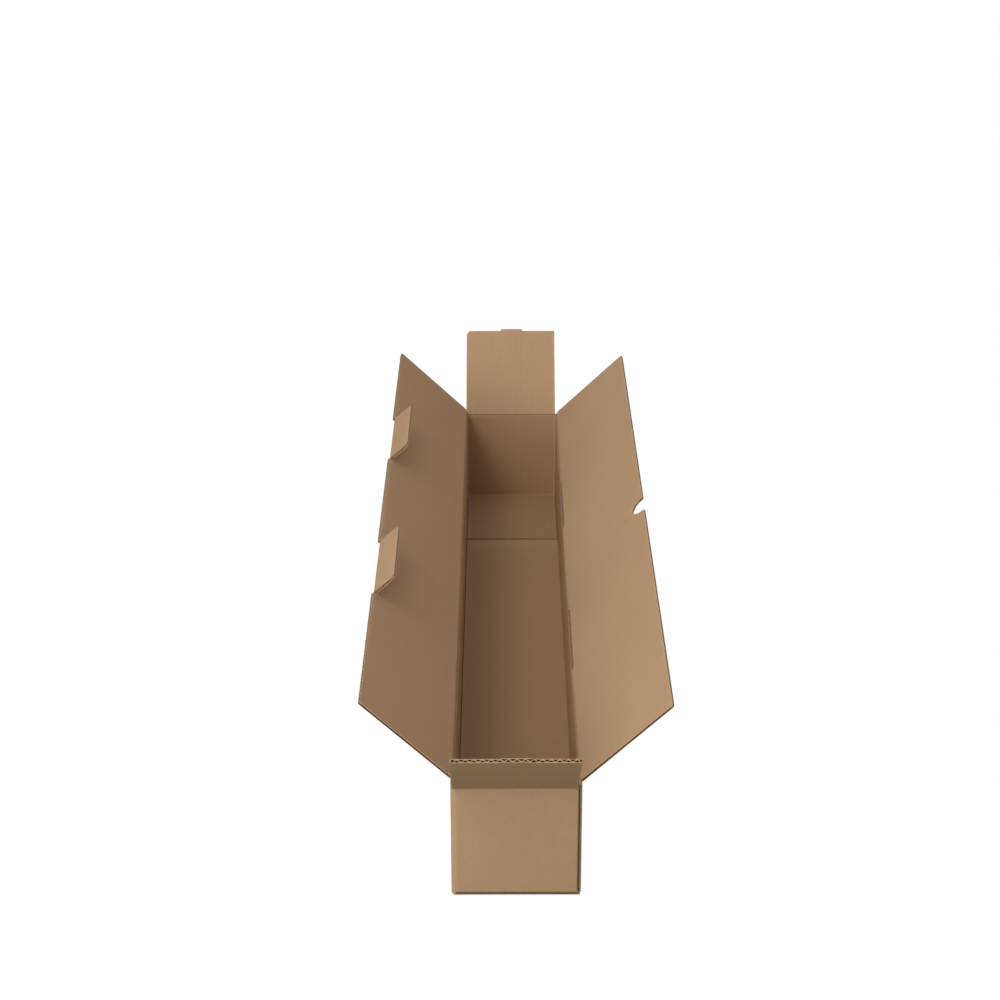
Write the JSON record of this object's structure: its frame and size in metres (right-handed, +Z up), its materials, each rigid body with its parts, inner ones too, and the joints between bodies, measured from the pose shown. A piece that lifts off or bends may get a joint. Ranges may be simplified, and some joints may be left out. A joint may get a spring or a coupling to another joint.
{
  "type": "long corrugated shipping box",
  "caption": "Long, narrow corrugated board shipping box with an open top, hinged top flaps, lock tabs with slits to take them, and a thumb notch.",
  "frame": {"origin": "centre of the box's length and width, on the underside of its bottom", "axes": "+Y along the box from its front end to its rear end, +X to the side of the flap with the thumb notch, +Z up"},
  "size_m": [0.2503, 0.9539, 0.1955],
  "materials": {
    "kraft_board": "matte"
  },
  "bodies": {
    "box_body": {"box_body": "kraft_board"},
    "left_flap": {"left_flap": "kraft_board"},
    "right_flap": {"right_flap": "kraft_board"},
    "rear_flap": {"rear_flap": "kraft_board"},
    "front_flap": {"front_flap": "kraft_board"}
  },
  "joints": [
    {"name": "left_flap_hinge", "type": "hinge", "parent": "box_body", "child": "left_flap", "pos_m": [-0.0515, 0, 0.1101], "axis": [0, -1, 0], "range_deg": [-136.4, 68.6]},
    {"name": "right_flap_hinge", "type": "hinge", "parent": "box_body", "child": "right_flap", "pos_m": [0.0515, 0, 0.1068], "axis": [0, 1, 0], "range_deg": [-136.2, 68.8]},
    {"name": "rear_flap_hinge", "type": "hinge", "parent": "box_body", "child": "rear_flap", "pos_m": [0, 0.4015, 0.1035], "axis": [-1, 0, 0], "range_deg": [-131.8, 73.2]},
    {"name": "front_flap_hinge", "type": "hinge", "parent": "box_body", "child": "front_flap", "pos_m": [0, -0.4015, 0.1035], "axis": [1, 0, 0], "range_deg": [-137.4, 67.6]}
  ]
}
